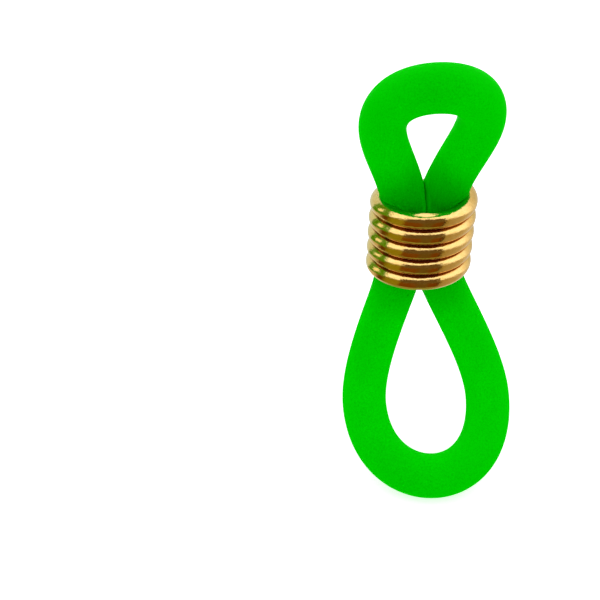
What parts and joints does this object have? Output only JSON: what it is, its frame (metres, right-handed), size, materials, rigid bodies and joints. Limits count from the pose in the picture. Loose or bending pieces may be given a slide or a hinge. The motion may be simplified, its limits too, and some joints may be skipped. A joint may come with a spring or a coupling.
{
  "type": "adjustable loop connector",
  "caption": "Small rubber ring pinched into a figure of eight by a sliding close-wound wire coil, leaving a grip eye and a larger cord eye; both loops curl forward.",
  "frame": {"origin": "centre of the grip loop's eye, on the curled loop's middle surface", "axes": "+Z along the coil's axis from the cord loop to the grip loop, +X across the two loops, -Y the hollow side that both loops curl towards"},
  "size_m": [0.0075, 0.0086, 0.0192],
  "materials": {
    "green_rubber": "satin, slightly translucent moulded silicone",
    "gold_wire": "polished gold-coloured wire with fine draw marks"
  },
  "bodies": {
    "ring": {"rubber_ring": "green_rubber"},
    "coil": {"wire_coil": "gold_wire"}
  },
  "joints": [
    {"name": "coil_slide", "type": "slide", "parent": "ring", "child": "coil", "axis": [0, 0, 1], "range_m": [-0.0025, 0.002], "deforming": ["rubber_ring"]}
  ]
}
